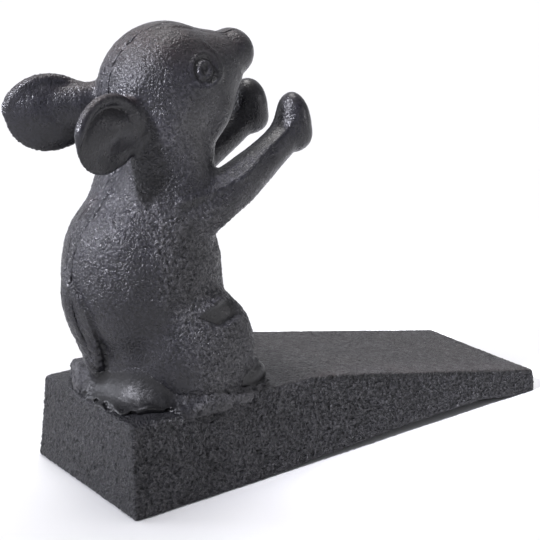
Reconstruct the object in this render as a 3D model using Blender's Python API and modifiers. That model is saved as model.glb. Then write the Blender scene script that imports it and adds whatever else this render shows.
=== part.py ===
"""A cast iron door wedge: a mouse sits up on the level end of a tapered wedge.

The wedge is one casting. The mouse is two hollow half shells that meet on the middle plane,
with a strip of filler in the groove along their joint and an uneven bead round the figure's foot.
Metres, +Z up. The origin is on the floor under the figure, in the middle of the heel pad, and
+X points to the tip of the wedge, the way the mouse looks.
"""

import math

import bmesh
import bpy
from mathutils import Matrix, Vector

# Wedge casting. Slopes are metres of lean for each metre of height.
WEDGE_LENGTH = 0.1309
WEDGE_WIDTH = 0.045
WEDGE_HEIGHT = 0.0216
TIP_THICKNESS = 0.0058
TIP_WIDTH = 0.0421
LEVEL_LENGTH = 0.0547
BREAK_RADIUS = 0.030
SIDE_DRAFT = 0.101
END_DRAFT = 0.054
HEEL_PAD_LENGTH = 0.036
TOE_PAD_LENGTH = 0.008
ARCH_RISE = 0.0020
ARCH_CREST = 0.75  # where the arch is highest, as a share of the way from the heel pad to the toe pad
EDGE_ROUND = 0.0012

# Figure: body
FIGURE_TO_END = 0.018
TORSO_HEIGHT = 0.0584
TORSO_DEPTH = 0.0370
TORSO_WIDTH = 0.0320
HAUNCH_LENGTH = 0.0275
HAUNCH_HEIGHT = 0.0300
HAUNCH_THICKNESS = 0.0170
HAUNCH_FORWARD = 0.0074
HAUNCH_SPREAD = 0.0120
FOOT_LENGTH = 0.0180
FOOT_WIDTH = 0.0095
FOOT_HEIGHT = 0.0065
FOOT_SPREAD = 0.0140
TOE_FORWARD = 0.0265
TAIL_TOP = 0.0330
TAIL_WIDTH = 0.0075
TAIL_PROUD = 0.0022

# Figure: head
HEAD_TILT = math.radians(22)
HEAD_FORWARD = 0.0061
HEAD_RISE = 0.0120
SKULL_LENGTH = 0.0312
SKULL_WIDTH = 0.0262
SKULL_HEIGHT = 0.0304
JAW_DIAMETER = 0.0180
SNOUT_LENGTH = 0.0190
SNOUT_ROOT = 0.0230
NOSE_DIAMETER = 0.0124
EYE_DIAMETER = 0.0076
EYE_PROUD = 0.0006
EYE_FORWARD = 0.0072
EYE_UP = 0.0024
EYE_TURN = math.radians(24)
EAR_LENGTH = 0.0216
EAR_BREADTH = 0.0180
EAR_THICKNESS = 0.0040
EAR_FLARE = math.radians(20)
RIGHT_EAR_DROP = 0.0023
RIGHT_EAR_FORWARD = 0.0020

# Figure: forelegs
SHOULDER_HEIGHT = 0.0446
SHOULDER_SPREAD = 0.0112
NECK_BULGE_LENGTH = 0.0190
NECK_BULGE_WIDTH = 0.0130
NECK_BULGE_HEIGHT = 0.0260
NECK_BULGE_SPREAD = 0.0062
NECK_BULGE_FORWARD = 0.0014
UPPER_ARM_THICKNESS = 0.0108
FOREARM_THICKNESS = 0.0082
ARM_REACH = 0.0298
ARM_RISE = 0.0145
PAW_SPREAD = 0.0078
PAW_LENGTH = 0.0136
PAW_WIDTH = 0.0088
PAW_THICKNESS = 0.0078
PAW_LEAN = math.radians(-7)

# Joints
SHELL_WALL = 0.0045
JOINT_GAP = 0.0003
SEAM_WIDTH = 0.0030
SEAM_DEPTH = 0.0012
BEAD_WIDTH = 0.0032
BEAD_HEIGHT = 0.0060
LAP_LENGTH = 0.0240
LAP_DEPTH = 0.0032
LAP_THICKNESS = 0.0016

# Fineness of the modelled surface
FORM_VOXEL = 0.0007
FORM_SMOOTHING = 10
FORM_TRIANGLES = 7000
CORE_VOXEL = 0.0016
CORE_TRIANGLES = 900
GROWN_VOXEL = 0.0008
GROWN_TRIANGLES = 3200
BEAD_VOXEL = 0.0007
BEAD_TRIANGLES = 1500
RING_POINTS = 40
REACH = 0.3  # more than the whole part, for the cutters

PARTS = "door_wedge"
CUTTERS = "cutters"


def clear_scene():
    for old in list(bpy.data.objects):
        bpy.data.objects.remove(old)
    for name in (PARTS, CUTTERS):
        bpy.context.scene.collection.children.link(bpy.data.collections.new(name))


def placed(name, data, collection=CUTTERS):
    """An object in a collection. In the cutters' it is drawn as wire and stays out of the part."""
    made = bpy.data.objects.new(name, data)
    bpy.data.collections[collection].objects.link(made)
    if collection == CUTTERS:
        made.hide_render = True
        made.display_type = "WIRE"
    return made


def mesh_of(name, shape):
    """A mesh from a bmesh, which is freed."""
    mesh = bpy.data.meshes.new(name)
    shape.to_mesh(mesh)
    shape.free()
    return mesh


def object_from(name, shape, collection=CUTTERS):
    """An object from a closed bmesh, with its faces turned outward."""
    bmesh.ops.recalc_face_normals(shape, faces=shape.faces)
    return placed(name, mesh_of(name, shape), collection)


def evaluated(source, name, collection=CUTTERS):
    """A new object with the mesh that source's modifiers make; source itself goes."""
    bpy.context.view_layer.update()
    graph = bpy.context.evaluated_depsgraph_get()
    mesh = bpy.data.meshes.new_from_object(source.evaluated_get(graph))
    mesh.transform(source.matrix_world)
    bpy.data.objects.remove(source)
    shape = bmesh.new()
    shape.from_mesh(mesh)
    bmesh.ops.remove_doubles(shape, verts=shape.verts, dist=1e-6)
    bpy.data.meshes.remove(mesh)
    return object_from(name, shape, collection)


def joined(name, pieces):
    """One object that holds every piece's faces, still overlapping."""
    shape = bmesh.new()
    for piece in pieces:
        bpy.context.view_layer.update()
        mesh = piece.data.copy()
        mesh.transform(piece.matrix_world)
        shape.from_mesh(mesh)
        bpy.data.meshes.remove(mesh)
        bpy.data.objects.remove(piece)
    return placed(name, mesh_of(name, shape))


def modelled(name, pieces, voxel, smoothing, triangles):
    """The pieces fused into one skin, smoothed and brought down to about that many triangles."""
    lump = joined(name + "_lump", pieces)
    remesh = lump.modifiers.new("fuse", "REMESH")
    remesh.mode = "VOXEL"
    remesh.voxel_size = voxel
    if smoothing:
        smooth = lump.modifiers.new("smooth", "SMOOTH")
        smooth.factor = 0.5
        smooth.iterations = smoothing
    fused = evaluated(lump, name + "_fused")
    thin = fused.modifiers.new("thin", "DECIMATE")
    thin.ratio = min(1.0, triangles / (2 * len(fused.data.polygons)))
    thin.use_collapse_triangulate = True
    return evaluated(fused, name)


def mirrored(source):
    """A copy of source on the other side of the middle plane."""
    made = copy_of(source, source.name + "_left")
    made.data.transform(Matrix.Scale(-1, 4, (0, 1, 0)))
    made.data.flip_normals()
    return made


def ellipsoid(name, centre, sizes, turn=None):
    """A ball with the three full widths of sizes, turned and then set at centre."""
    shape = bmesh.new()
    bmesh.ops.create_uvsphere(shape, u_segments=32, v_segments=20, radius=0.5)
    bmesh.ops.scale(shape, vec=Vector(sizes), verts=shape.verts)
    if turn is not None:
        bmesh.ops.rotate(shape, cent=(0, 0, 0), matrix=turn, verts=shape.verts)
    bmesh.ops.translate(shape, vec=Vector(centre), verts=shape.verts)
    return object_from(name, shape)


def limb(name, route):
    """A round limb along a smooth curve. Each point of route is (place, radius)."""
    curve = bpy.data.curves.new(name, "CURVE")
    curve.dimensions = "3D"
    curve.bevel_depth = 1.0
    curve.bevel_resolution = 5
    curve.resolution_u = 8
    curve.use_fill_caps = True
    spline = curve.splines.new("BEZIER")
    spline.bezier_points.add(len(route) - 1)
    for point, (place, radius) in zip(spline.bezier_points, route):
        point.co = place
        point.radius = radius
        point.handle_left_type = "AUTO"
        point.handle_right_type = "AUTO"
    return evaluated(placed(name + "_route", curve), name)


def smooth_through(stations, share):
    """Each value of the stations at share, by a cubic through their rows, which start with their share."""
    last = len(stations) - 2
    here = max(i for i in range(last + 1) if stations[i][0] <= share or i == 0)
    before, low, high, after = (stations[min(max(i, 0), last + 1)] for i in range(here - 1, here + 3))
    t = (share - low[0]) / (high[0] - low[0])
    values = []
    for p0, p1, p2, p3 in zip(before[1:], low[1:], high[1:], after[1:]):
        bend = 2 * p0 - 5 * p1 + 4 * p2 - p3
        values.append(p1 + 0.5 * t * (p2 - p0 + t * (bend + t * (3 * (p1 - p2) + p3 - p0))))
    return values


def loft(name, rings):
    """A closed skin over rings of equally many points, with a flat cap on each end."""
    shape = bmesh.new()
    levels = [[shape.verts.new(point) for point in ring] for ring in rings]
    for lower, upper in zip(levels, levels[1:]):
        for i, vertex in enumerate(lower):
            following = (i + 1) % len(lower)
            shape.faces.new((vertex, lower[following], upper[following], upper[i]))
    shape.faces.new(levels[0])
    shape.faces.new(levels[-1])
    return object_from(name, shape)


def box(name, low, high):
    shape = bmesh.new()
    bmesh.ops.create_cube(shape, size=1.0)
    bmesh.ops.scale(shape, vec=Vector(high) - Vector(low), verts=shape.verts)
    bmesh.ops.translate(shape, vec=(Vector(high) + Vector(low)) / 2, verts=shape.verts)
    return object_from(name, shape)


def cut(piece, cutter, operation="DIFFERENCE"):
    """A Boolean on the figure's dense closed skins, where the exact solver leaves edges with four faces."""
    boolean = piece.modifiers.new(cutter.name, "BOOLEAN")
    boolean.operation = operation
    boolean.solver = "MANIFOLD"
    boolean.object = cutter


def copy_of(source, name):
    """A cutter with its own copy of source's mesh."""
    return placed(name, source.data.copy())


def grown(source, name, distance):
    """A copy of source with its skin moved out by distance, or in where that is negative."""
    made = copy_of(source, name + "_skin")
    move = made.modifiers.new("grow", "DISPLACE")
    move.mid_level = 0.0
    move.strength = distance
    return modelled(name, [evaluated(made, name + "_moved")], GROWN_VOXEL, 0, GROWN_TRIANGLES)


# Wedge

END_X = -FIGURE_TO_END
TIP_X = END_X + WEDGE_LENGTH
BREAK_X = END_X + LEVEL_LENGTH
PLAN_TAPER = (WEDGE_WIDTH - TIP_WIDTH) / 2 / WEDGE_LENGTH


def break_curve(grow):
    """Points of the round bend between the level top and the ramp, as it is grown by grow."""
    slope = math.atan2(WEDGE_HEIGHT - TIP_THICKNESS, TIP_X - BREAK_X)
    reach = BREAK_RADIUS * math.tan(slope / 2)
    centre_z = WEDGE_HEIGHT - BREAK_RADIUS
    steps = 4
    turns = [slope * i / steps for i in range(steps + 1)]
    radius = BREAK_RADIUS + grow
    return [(BREAK_X - reach + radius * math.sin(a), centre_z + radius * math.cos(a)) for a in turns]


def side_outline(grow):
    """The wedge seen from the side, from the heel round the underside to the tip and back over the top."""
    arch_start = END_X + HEEL_PAD_LENGTH
    arch_end = TIP_X - TOE_PAD_LENGTH
    crest = arch_start + ARCH_CREST * (arch_end - arch_start)
    under = [(arch_start, 0.0)]
    steps = 4
    for step in range(1, steps + 1):
        rise = ARCH_RISE * math.sin(step / steps * math.pi / 2)
        under.append((arch_start + step / steps * (crest - arch_start), rise))
    under.append((arch_end - 2 * ARCH_RISE, ARCH_RISE))
    under.append((arch_end, 0.0))
    top = [(TIP_X + grow, TIP_THICKNESS + grow)] + break_curve(grow)[::-1]
    end_lean = END_DRAFT * WEDGE_HEIGHT
    heel = [(END_X + end_lean - grow, WEDGE_HEIGHT + grow), (END_X - grow, 0.0)]
    return under + [(TIP_X + grow, 0.0)] + top + heel


def wedge_shape(name, grow=0.0):
    """The wedge without its rounded edges, with its top, ends and sides moved out by grow."""
    shape = bmesh.new()
    sides = []
    for sign in (-1, 1):
        side = []
        for x, z in side_outline(grow):
            half = WEDGE_WIDTH / 2 - PLAN_TAPER * (x - END_X) - SIDE_DRAFT * z + grow
            side.append(shape.verts.new((x, sign * half, z)))
        shape.faces.new(side)
        sides.append(side)
    right, left = sides
    for i in range(len(right)):
        following = (i + 1) % len(right)
        shape.faces.new((right[i], right[following], left[following], left[i]))
    return object_from(name, shape)


def make_wedge():
    wedge = evaluated(wedge_shape("wedge_shape"), "wedge", PARTS)
    rounding = wedge.modifiers.new("rounded edges", "BEVEL")
    rounding.width = EDGE_ROUND
    rounding.segments = 2
    rounding.limit_method = "ANGLE"
    rounding.angle_limit = math.radians(35)
    return wedge


# Figure

TORSO_PROFILE = (
    # share of the height, forward lean, depth and width, as shares of the torso's own sizes
    (0.00, 0.060, 0.810, 0.960),
    (0.14, 0.065, 0.815, 0.950),
    (0.22, 0.055, 0.850, 0.950),
    (0.31, 0.040, 0.925, 0.985),
    (0.40, 0.000, 0.965, 1.000),
    (0.48, -0.012, 0.990, 1.000),
    (0.56, -0.030, 0.990, 0.995),
    (0.64, -0.032, 0.945, 0.950),
    (0.71, -0.014, 0.880, 0.900),
    (0.78, 0.027, 0.785, 0.845),
    (0.85, 0.081, 0.665, 0.860),
    (0.92, 0.155, 0.560, 0.800),
    (1.00, 0.190, 0.520, 0.740),
)
SUNK = 0.006  # how far the forms run below the wedge's top before they are cut level with it


def torso_section(share):
    """(forward lean, half depth, half width) of the torso at a share of its height."""
    lean, depth, width = smooth_through(TORSO_PROFILE, share)
    return lean * TORSO_DEPTH, depth * TORSO_DEPTH / 2, width * TORSO_WIDTH / 2


def torso(name, inset=0.0):
    rings = []
    levels = 24
    for level in range(-1, levels + 1):
        share = level / levels
        lean, half_depth, half_width = torso_section(max(share, 0.0))
        z = WEDGE_HEIGHT + (share * TORSO_HEIGHT if level >= 0 else -SUNK)
        ring = []
        for i in range(RING_POINTS):
            angle = 2 * math.pi * i / RING_POINTS
            x = lean + (half_depth - inset) * math.cos(angle)
            ring.append((x, (half_width - inset) * math.sin(angle), z))
        rings.append(ring)
    return loft(name, rings)


def head_place(forward, side, up):
    """A point given along the tilted head, from the middle of the skull."""
    x = HEAD_FORWARD + forward * math.cos(HEAD_TILT) - up * math.sin(HEAD_TILT)
    z = WEDGE_HEIGHT + TORSO_HEIGHT + HEAD_RISE + forward * math.sin(HEAD_TILT) + up * math.cos(HEAD_TILT)
    return Vector((x, side, z))


HEAD_TURN = Matrix.Rotation(-HEAD_TILT, 3, "Y")


def skull(name, inset=0.0):
    sizes = (SKULL_LENGTH - 2 * inset, SKULL_WIDTH - 2 * inset, SKULL_HEIGHT - 2 * inset)
    return ellipsoid(name, head_place(0, 0, 0), sizes, HEAD_TURN)


def snout():
    """The snout, its nose and the jaw below them."""
    root = SNOUT_ROOT / 2
    nose = NOSE_DIAMETER / 2
    droop = -0.14 * NOSE_DIAMETER
    route = [
        (head_place(0.20 * SNOUT_LENGTH, 0, -0.10 * SNOUT_ROOT), root),
        (head_place(0.65 * SNOUT_LENGTH, 0, -0.08 * SNOUT_ROOT), 0.54 * (root + nose)),
        (head_place(SNOUT_LENGTH, 0, droop), 0.97 * nose),
    ]
    ball = ellipsoid("nose", head_place(SNOUT_LENGTH, 0, droop), (NOSE_DIAMETER,) * 3)
    jaw_place = head_place(0.33 * SNOUT_LENGTH, 0, 0.5 * JAW_DIAMETER - 0.525 * SKULL_HEIGHT)
    jaw = ellipsoid("jaw", jaw_place, (JAW_DIAMETER, 1.1 * JAW_DIAMETER, JAW_DIAMETER))
    return [limb("snout", route), ball, jaw]


def eye():
    """The raised round of the eye, lying on the side of the skull."""
    along = 2 * EYE_FORWARD / SKULL_LENGTH
    above = 2 * EYE_UP / SKULL_HEIGHT
    side = SKULL_WIDTH / 2 * math.sqrt(max(1 - along**2 - above**2, 0.0))
    turn = HEAD_TURN @ Matrix.Rotation(EYE_TURN, 3, "Z")
    sizes = (EYE_DIAMETER, 3 * EYE_PROUD, 1.06 * EYE_DIAMETER)
    return ellipsoid("eye", head_place(EYE_FORWARD, -side - EYE_PROUD, EYE_UP), sizes, turn)


EAR_PROFILE = (
    # share of the radius, and height as a share of the thickness, from the inner face round the rim
    (0.30, -0.50),
    (0.70, -0.44),
    (0.92, -0.24),
    (1.00, 0.10),
    (0.95, 0.42),
    (0.86, 0.50),
    (0.76, 0.38),
    (0.55, 0.10),
    (0.25, 0.00),
)


def ear(shift):
    """A dished round plate that points back and out, and the thick root that joins it to the skull."""
    root = head_place(-0.38 * SKULL_LENGTH, -0.25 * SKULL_WIDTH, 0.030 * SKULL_HEIGHT) + shift
    back = Vector((-math.cos(EAR_FLARE), -math.sin(EAR_FLARE), -0.04)).normalized()
    out = back.cross(Vector((0, 0, 1))).normalized()
    if out.y > 0:
        out = -out
    up = out.cross(back).normalized()
    if up.z < 0:
        up = -up
    centre = root + 0.58 * EAR_LENGTH * back
    rings = []
    for share, height in EAR_PROFILE:
        ring = []
        for i in range(RING_POINTS):
            angle = 2 * math.pi * i / RING_POINTS
            along = share * EAR_LENGTH / 2 * math.cos(angle)
            across = share * EAR_BREADTH / 2 * math.sin(angle)
            ring.append(centre + along * back + across * up + height * EAR_THICKNESS * out)
        rings.append(ring)
    turn = Matrix((back, out, up)).transposed()
    neck_sizes = (0.80 * EAR_LENGTH, 1.35 * EAR_THICKNESS, 0.62 * EAR_BREADTH)
    neck = ellipsoid("ear_root", root + 0.08 * EAR_LENGTH * back, neck_sizes, turn)
    return [loft("ear_plate", rings), neck]


def foreleg():
    """The raised foreleg, its upright paw and the shoulder."""
    lean = torso_section(SHOULDER_HEIGHT / TORSO_HEIGHT)[0]
    shoulder = Vector((lean + 0.20 * TORSO_DEPTH, -SHOULDER_SPREAD, WEDGE_HEIGHT + SHOULDER_HEIGHT))
    upper = UPPER_ARM_THICKNESS / 2
    fore = FOREARM_THICKNESS / 2
    route = []
    for reach, rise, close, radius in (
        (-0.16, -0.05, 1.40, 1.00 * upper),
        (0.06, 0.02, 0.10, 1.15 * upper),
        (0.30, 0.22, 0.00, upper),
        (0.52, 0.50, 0.35, 0.5 * (upper + fore)),
        (0.76, 0.75, 0.75, fore),
        (0.96, 0.99, 1.00, 0.97 * fore),
    ):
        side = close * (SHOULDER_SPREAD - PAW_SPREAD)
        route.append((shoulder + Vector((reach * ARM_REACH, side, rise * ARM_RISE)), radius))
    wrist = route[-1][0]
    paw_place = wrist + Vector((0.13 * PAW_THICKNESS, 0.0, 0.16 * PAW_LENGTH))
    paw_turn = Matrix.Rotation(PAW_LEAN, 3, "Y")
    paw = ellipsoid("paw", paw_place, (PAW_THICKNESS, PAW_WIDTH, PAW_LENGTH), paw_turn)
    bulge_place = shoulder + Vector((-0.06 * TORSO_DEPTH, 0.12 * SHOULDER_SPREAD, 0))
    bulge_sizes = (1.9 * UPPER_ARM_THICKNESS, UPPER_ARM_THICKNESS, 1.5 * UPPER_ARM_THICKNESS)
    bulge = ellipsoid("shoulder", bulge_place, bulge_sizes)
    return [limb("foreleg", route), paw, bulge]


def neck_bulge():
    """The full side of the neck, from under the ear down to the shoulder."""
    under_the_ear = (NECK_BULGE_FORWARD, -NECK_BULGE_SPREAD, WEDGE_HEIGHT + 0.93 * TORSO_HEIGHT)
    return ellipsoid("neck_bulge", under_the_ear, (NECK_BULGE_LENGTH, NECK_BULGE_WIDTH, NECK_BULGE_HEIGHT))


def haunch():
    centre = (HAUNCH_FORWARD, -HAUNCH_SPREAD, WEDGE_HEIGHT + 0.34 * HAUNCH_HEIGHT)
    return ellipsoid("haunch", centre, (HAUNCH_LENGTH, HAUNCH_THICKNESS, HAUNCH_HEIGHT))


def foot():
    centre = (TOE_FORWARD - FOOT_LENGTH / 2, -FOOT_SPREAD, WEDGE_HEIGHT + 0.25 * FOOT_HEIGHT)
    return ellipsoid("foot", centre, (FOOT_LENGTH, FOOT_WIDTH, 1.5 * FOOT_HEIGHT))


def tail():
    """The flat tail that lies up the middle of the back, pointed at its top."""
    rings = []
    levels = 14
    sides = 16
    for level in range(levels + 1):
        share = level / levels
        height = share * TAIL_TOP - SUNK * (1 - share)
        lean, half_depth, _ = torso_section(max(height, 0.0) / TORSO_HEIGHT)
        swell = 0.75 + 0.35 * math.sin(math.pi * share)
        point = math.sqrt(max(1.02 - share**4, 0.02))
        ring = []
        for i in range(sides):
            angle = 2 * math.pi * i / sides
            x = lean - half_depth + TAIL_PROUD * (0.6 - 1.6 * math.cos(angle))
            ring.append((x, TAIL_WIDTH / 2 * swell * point * math.sin(angle), WEDGE_HEIGHT + height))
        rings.append(ring)
    return loft("tail", rings)


def figure_form():
    """The whole mouse as one solid form. What lies on one side is modelled there and mirrored."""
    sided = [eye(), haunch(), foot(), neck_bulge()] + foreleg()
    level_ear = ear(Vector((0, 0, 0)))
    pieces = [torso("torso"), skull("skull"), tail()] + snout() + sided
    pieces += [mirrored(piece) for piece in sided + level_ear]
    pieces += ear(Vector((RIGHT_EAR_FORWARD, 0, -RIGHT_EAR_DROP)))
    for piece in level_ear:
        bpy.data.objects.remove(piece)
    return modelled("figure_form", pieces, FORM_VOXEL, FORM_SMOOTHING, FORM_TRIANGLES)


def figure_core():
    """The hollow inside, open at the foot."""
    inside = [torso("core_torso", SHELL_WALL), skull("core_skull", SHELL_WALL)]
    return modelled("figure_core", inside, CORE_VOXEL, 0, CORE_TRIANGLES)


def make_figure(form):
    """Two half shells with a groove along their joint, and the strip of filler that lies in it."""
    core = figure_core()
    top = WEDGE_HEIGHT + JOINT_GAP
    groove = box("groove", (-REACH, -SEAM_WIDTH / 2 - JOINT_GAP, 0), (REACH, SEAM_WIDTH / 2 + JOINT_GAP, REACH))
    cut(groove, grown(form, "under_the_groove", -SEAM_DEPTH - JOINT_GAP))
    groove = evaluated(groove, "groove_ring")
    halves = []
    for name, sign in (("mouse_right_half", -1), ("mouse_left_half", 1)):
        near = sign * JOINT_GAP / 2
        far = sign * REACH
        side = box(name + "_side", (-REACH, min(near, far), top), (REACH, max(near, far), REACH))
        half = copy_of(form, name + "_form")
        cut(half, side, "INTERSECT")
        cut(half, groove)
        cut(half, core)
        halves.append(evaluated(half, name, PARTS))
    strip = copy_of(form, "seam_form")
    slab = box("seam_slab", (-REACH, -SEAM_WIDTH / 2, top), (REACH, SEAM_WIDTH / 2, REACH))
    cut(strip, slab, "INTERSECT")
    cut(strip, grown(form, "under_the_seam", -SEAM_DEPTH))
    return halves + [evaluated(strip, "seam_filler", PARTS)]


BEAD_OUTLINE = (
    # turn from the front in degrees, and the width and height of the bead there as shares of its own
    (48, 0.70, 0.45),
    (75, 0.80, 0.60),
    (110, 0.95, 0.80),
    (148, 1.75, 1.10),
    (175, 1.20, 1.20),
    (200, 0.95, 1.00),
    (225, 1.00, 0.90),
    (250, 1.00, 0.75),
    (275, 0.90, 0.70),
    (300, 1.00, 0.60),
    (312, 0.80, 0.50),
)
BEAD_LEVELS = 44
BEAD_SIDES = 12


def foot_line(angle):
    """The figure's outline on the wedge, at a turn from its front. It runs outside the haunches and feet."""
    lean, half_depth, half_width = torso_section(0.05)
    front = 0.5 + 0.5 * math.cos(angle)
    depth = half_depth + (0.85 * TOE_FORWARD - half_depth) * front
    widest = HAUNCH_SPREAD + 0.40 * HAUNCH_THICKNESS
    half = half_width + (widest - half_width) * min(1.0, 1.6 * front)
    squared = math.copysign(abs(math.sin(angle)) ** 0.8, math.sin(angle))
    return lean + depth * math.cos(angle), half * squared


def bead_ring():
    """The bead from one foot round the back to the other, a thick uneven roll."""
    first, last = BEAD_OUTLINE[0][0], BEAD_OUTLINE[-1][0]
    rings = []
    for level in range(BEAD_LEVELS + 1):
        degrees = first + (last - first) * level / BEAD_LEVELS
        wide, high = smooth_through(BEAD_OUTLINE, degrees)
        angle = math.radians(degrees)
        x, y = foot_line(angle)
        middle = Vector((x, y, WEDGE_HEIGHT))
        outward = Vector((math.cos(angle), math.sin(angle), 0))
        ring = []
        for i in range(BEAD_SIDES):
            turn = 2 * math.pi * i / BEAD_SIDES
            rise = Vector((0, 0, high * BEAD_HEIGHT * math.sin(turn)))
            ring.append(middle + wide * BEAD_WIDTH * math.cos(turn) * outward + rise)
        rings.append(ring)
    return loft("bead_ring", rings)


def make_bead(form):
    """The uneven bead round the figure's foot, thickest behind it, lapping over the wedge's right edge."""
    top_edge = WEDGE_WIDTH / 2 - SIDE_DRAFT * WEDGE_HEIGHT - PLAN_TAPER * FIGURE_TO_END
    lap_place = (0.42 * LAP_LENGTH, -top_edge, WEDGE_HEIGHT)
    lap = ellipsoid("lap", lap_place, (LAP_LENGTH, 4 * LAP_THICKNESS, 2 * LAP_DEPTH))
    bead = modelled("bead_form", [bead_ring(), lap], BEAD_VOXEL, 4, BEAD_TRIANGLES)
    cut(bead, grown(form, "figure_in_the_bead", JOINT_GAP))
    cut(bead, wedge_shape("wedge_under_the_bead", JOINT_GAP))
    cut(bead, box("bead_foot", (-REACH, -REACH, WEDGE_HEIGHT - LAP_DEPTH), (REACH, REACH, REACH)), "INTERSECT")
    return evaluated(bead, "base_bead", PARTS)


# Finish

FINISHES = {
    # colour, roughness and metallic value
    "wedge": ((0.052, 0.053, 0.058, 1.0), 0.62, 0.35),
    "mouse_right_half": ((0.056, 0.056, 0.064, 1.0), 0.50, 0.35),
    "mouse_left_half": ((0.056, 0.056, 0.064, 1.0), 0.50, 0.35),
    "seam_filler": ((0.060, 0.058, 0.060, 1.0), 0.55, 0.30),
    "base_bead": ((0.048, 0.050, 0.056, 1.0), 0.38, 0.35),
}


def finish(piece):
    """The piece's own black painted iron, and smooth shading with sharp edges kept."""
    colour, roughness, metallic = FINISHES[piece.name]
    material = bpy.data.materials.new(piece.name + "_iron")
    material.use_nodes = True
    material.diffuse_color = colour
    shader = material.node_tree.nodes["Principled BSDF"]
    shader.inputs["Base Color"].default_value = colour
    shader.inputs["Roughness"].default_value = roughness
    shader.inputs["Metallic"].default_value = metallic
    piece.data.materials.clear()
    piece.data.materials.append(material)
    piece.data.shade_smooth()
    piece.data.set_sharp_from_angle(angle=math.radians(40))


def main():
    clear_scene()
    form = figure_form()
    pieces = [make_wedge()] + make_figure(form) + [make_bead(form)]
    for piece in pieces:
        finish(piece)


main()
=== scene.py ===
"""The looks of the cast iron door wedge: sculpted castings, black paint, pale floor and soft light.

Forms are signed distances in millimetres, negative inside, on a regular grid. The figure is cut on
that grid where its real pieces meet. Each piece is then meshed, given its relief point by point, and
scaled to metres. The frame is the CAD's: +X to the tip, +Z up, and the camera looks at the -Y side.
"""

import math

import bpy
import numpy as np
import openvdb
from mathutils import Matrix, Vector


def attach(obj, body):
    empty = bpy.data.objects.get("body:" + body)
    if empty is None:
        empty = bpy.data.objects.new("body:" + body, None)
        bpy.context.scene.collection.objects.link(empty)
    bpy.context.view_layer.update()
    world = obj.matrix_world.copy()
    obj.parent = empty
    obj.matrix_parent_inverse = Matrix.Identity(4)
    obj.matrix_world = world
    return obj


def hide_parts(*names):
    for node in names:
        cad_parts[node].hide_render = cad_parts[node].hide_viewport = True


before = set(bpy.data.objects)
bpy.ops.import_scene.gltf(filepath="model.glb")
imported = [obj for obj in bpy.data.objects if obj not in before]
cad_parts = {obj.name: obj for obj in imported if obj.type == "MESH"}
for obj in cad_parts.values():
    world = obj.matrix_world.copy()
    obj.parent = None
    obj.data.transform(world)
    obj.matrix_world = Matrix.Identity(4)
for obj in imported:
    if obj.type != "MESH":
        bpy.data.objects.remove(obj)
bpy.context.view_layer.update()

MM = 0.001
VOXEL = 0.34
MARGIN = 1  # kept round a shape when it is joined to a form
TINY = 1e-9
SEED = 7
ROUTE_STEPS = 4  # points for each row of a limb's or a line's route


# Forms on a grid. A shape is a distance function with the two corners of its box

class Form:
    """A solid as signed distances on a grid of voxels."""

    def __init__(self, axes, values):
        self.axes = axes
        self.low = np.array([axis[0] for axis in axes])
        self.values = values

    def block(self, low, high):
        """The slices between two corners, and the X, Y and Z there."""
        spans = []
        for axis, first, last in zip(self.axes, low, high):
            spans.append(slice(*np.searchsorted(axis, (first, last))))
        return tuple(spans), np.ix_(*(axis[span] for axis, span in zip(self.axes, spans)))

    def add(self, shape, blend):
        """Joins a shape to the solid with a fillet of about blend."""
        distance, low, high = shape
        spans, place = self.block(np.array(low) - blend - MARGIN, np.array(high) + blend + MARGIN)
        self.values[spans] = smooth_min(self.values[spans], distance(*place), blend)

    def mesh(self):
        """Points in millimetres and four-sided faces of the solid's skin."""
        grid = openvdb.FloatGrid()
        grid.copyFromArray(self.values.astype(np.float32))
        points, faces = grid.convertToQuads()
        return points * VOXEL + self.low, faces


def sampled(low, high, distance):
    """The form of a distance function between two corners."""
    axes = []
    for first, last in zip(low, high):
        count = math.ceil((last - first) / VOXEL) + 1
        axes.append((first + VOXEL * np.arange(count)).astype(np.float32))
    return Form(axes, distance(*np.ix_(*axes)).astype(np.float32))


def smooth_min(a, b, blend):
    """The lower of two distances, with a fillet of about blend where they cross."""
    share = np.clip(0.5 + 0.5 * (b - a) / blend, 0, 1)
    return b + (a - b) * share - blend * share * (1 - share)


def smooth_max(a, b, blend):
    """The higher of two distances, with an edge rounded by about blend where they cross."""
    return -smooth_min(-a, -b, blend)


def ball(centre, sizes, turn=None):
    """An ellipsoid of three full widths, turned about its centre."""
    radii = [size / 2 for size in sizes]

    def distance(x, y, z):
        p = [x - centre[0], y - centre[1], z - centre[2]]
        if turn is not None:
            p = [sum(float(turn[j][i]) * p[j] for j in range(3)) for i in range(3)]
        near = sum((p[i] / radii[i]) ** 2 for i in range(3))
        steep = sum((p[i] / radii[i] ** 2) ** 2 for i in range(3))
        near = np.sqrt(near)
        return near * (near - 1) / np.sqrt(np.maximum(steep, TINY))

    reach = max(radii)
    return distance, [c - reach for c in centre], [c + reach for c in centre]


def limb(rows, blend=0.5):
    """A round limb through rows of x, y, z and radius."""
    places = [np.array(row[:3], float) for row in rows]
    radii = [row[3] for row in rows]

    def distance(x, y, z):
        best = None
        for a, b, ra, rb in zip(places, places[1:], radii, radii[1:]):
            run = b - a
            along = (x - a[0]) * run[0] + (y - a[1]) * run[1] + (z - a[2]) * run[2]
            t = np.clip(along / (run @ run), 0, 1)
            dx, dy, dz = x - a[0] - t * run[0], y - a[1] - t * run[1], z - a[2] - t * run[2]
            gap = np.sqrt(dx**2 + dy**2 + dz**2) - (ra + t * (rb - ra))
            best = gap if best is None else smooth_min(best, gap, blend)
        return best

    widest = max(radii)
    return distance, np.min(places, axis=0) - widest, np.max(places, axis=0) + widest


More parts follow.
